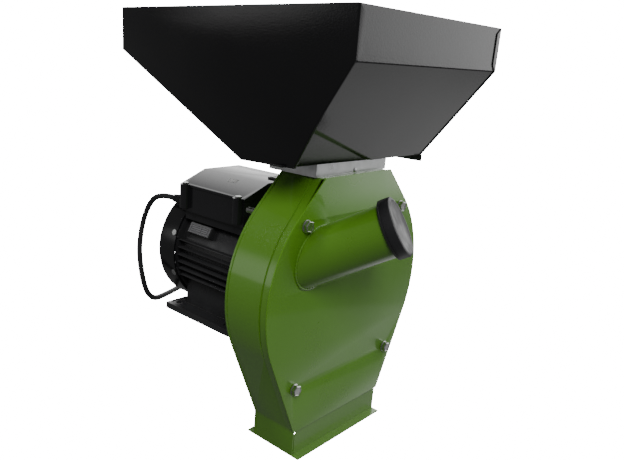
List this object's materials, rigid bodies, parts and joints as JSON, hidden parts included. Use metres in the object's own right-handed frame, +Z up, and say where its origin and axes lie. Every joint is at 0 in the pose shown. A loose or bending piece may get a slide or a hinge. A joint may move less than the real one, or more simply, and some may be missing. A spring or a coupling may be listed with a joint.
{
  "type": "hammer mill",
  "caption": "Bench hammer mill: sheet-steel drum on the front of a foot-mounted motor, with a hopper above, a capped cob feed tube on the lid and an outlet spout below.",
  "frame": {"origin": "centre of the four foot-bolt holes, on the bottom face of the motor's feet", "axes": "+Z up, -Y towards the lid and feed tube, +Y towards the motor's fan, +X to the right seen from the lid"},
  "size_m": [0.2424, 0.4627, 0.426],
  "materials": {
    "green_enamel": "gloss",
    "hopper_enamel": "gloss, orange peel",
    "zinc_plate": "bright zinc",
    "motor_paint": "satin",
    "cowl_enamel": "gloss",
    "cap_rubber": "matte",
    "screen_steel": "rolled",
    "machined_steel": "turned",
    "hammer_steel": "forged",
    "lamination_steel": "stacked sheet",
    "winding_copper": "varnished",
    "fan_plastic": "moulded",
    "plate_aluminium": "satin",
    "box_plastic": "fine moulded texture",
    "capacitor_plastic": "moulded",
    "block_plastic": "moulded",
    "switch_plastic": "moulded",
    "rocker_plastic": "moulded",
    "lead_rubber": "matte",
    "pin_brass": "nickel plated"
  },
  "bodies": {
    "frame": {"casing_wall_left": "green_enamel", "casing_wall_right": "green_enamel", "casing_top": "green_enamel", "casing_back_plate": "green_enamel", "spout_front": "green_enamel", "lid": "green_enamel", "feed_tube": "green_enamel", "hopper_left": "hopper_enamel", "hopper_right": "hopper_enamel", "hopper_front": "hopper_enamel", "hopper_back": "hopper_enamel", "hopper_floor": "hopper_enamel", "lid_bolts": "zinc_plate", "lid_washers": "zinc_plate", "lid_nuts": "zinc_plate", "throat_front": "zinc_plate", "throat_back": "zinc_plate", "gate_rail_left": "zinc_plate", "gate_rail_right": "zinc_plate", "hopper_screws": "zinc_plate", "flange_bolts": "zinc_plate", "cowl_screws": "zinc_plate", "box_screws": "zinc_plate", "motor_front_shield": "motor_paint", "motor_housing": "motor_paint", "motor_rear_shield": "motor_paint", "foot_left": "motor_paint", "foot_right": "motor_paint", "fan_cowl": "cowl_enamel", "sieve": "screen_steel", "motor_bearings": "machined_steel", "stator_core": "lamination_steel", "stator_windings": "winding_copper", "rating_plate": "plate_aluminium", "terminal_box": "box_plastic", "terminal_box_lid": "box_plastic", "capacitor": "capacitor_plastic", "terminal_block": "block_plastic", "switch_body": "switch_plastic", "cord_gland": "lead_rubber", "cord_tube": "lead_rubber", "cord_coil": "lead_rubber", "cord_tail": "lead_rubber", "plug_body": "lead_rubber", "plug_pins": "pin_brass"},
    "rotor": {"motor_shaft": "machined_steel", "rotor_discs": "machined_steel", "rotor_hub": "machined_steel", "rotor_nut": "machined_steel", "hammer_pins": "machined_steel", "hammer_spacers": "machined_steel", "rotor_core": "lamination_steel", "cooling_fan": "fan_plastic"},
    "gate": {"slide_gate": "zinc_plate"},
    "cap": {"tube_cap": "cap_rubber"},
    "rocker": {"switch_rocker": "rocker_plastic"},
    "hammer_1": {"hammer_1": "hammer_steel"},
    "hammer_2": {"hammer_2": "hammer_steel"},
    "hammer_3": {"hammer_3": "hammer_steel"},
    "hammer_4": {"hammer_4": "hammer_steel"}
  },
  "joints": [
    {"name": "rotor_spin", "type": "hinge", "parent": "frame", "child": "rotor", "pos_m": [0, 0, 0.071], "axis": [0, 1, 0], "continuous": true},
    {"name": "hammer_1_swing", "type": "hinge", "parent": "rotor", "child": "hammer_1", "pos_m": [0.03111, -0.1305, 0.10211], "axis": [0, 1, 0], "range_deg": [-80, 80]},
    {"name": "hammer_2_swing", "type": "hinge", "parent": "rotor", "child": "hammer_2", "pos_m": [0.03111, -0.1305, 0.03989], "axis": [0, 1, 0], "range_deg": [-80, 80]},
    {"name": "hammer_3_swing", "type": "hinge", "parent": "rotor", "child": "hammer_3", "pos_m": [-0.03111, -0.1305, 0.03989], "axis": [0, 1, 0], "range_deg": [-80, 80]},
    {"name": "hammer_4_swing", "type": "hinge", "parent": "rotor", "child": "hammer_4", "pos_m": [-0.03111, -0.1305, 0.10211], "axis": [0, 1, 0], "range_deg": [-80, 80]},
    {"name": "gate_close", "type": "slide", "parent": "frame", "child": "gate", "axis": [0, -1, 0], "range_m": [0, 0.033]},
    {"name": "cap_pull", "type": "slide", "parent": "frame", "child": "cap", "axis": [0.3711, -0.7957, 0.4787], "range_m": [0, 0.03]},
    {"name": "switch_rock", "type": "hinge", "parent": "frame", "child": "rocker", "pos_m": [0.003, -0.0505, 0.166], "axis": [0, 1, 0], "range_deg": [0, 14]}
  ]
}
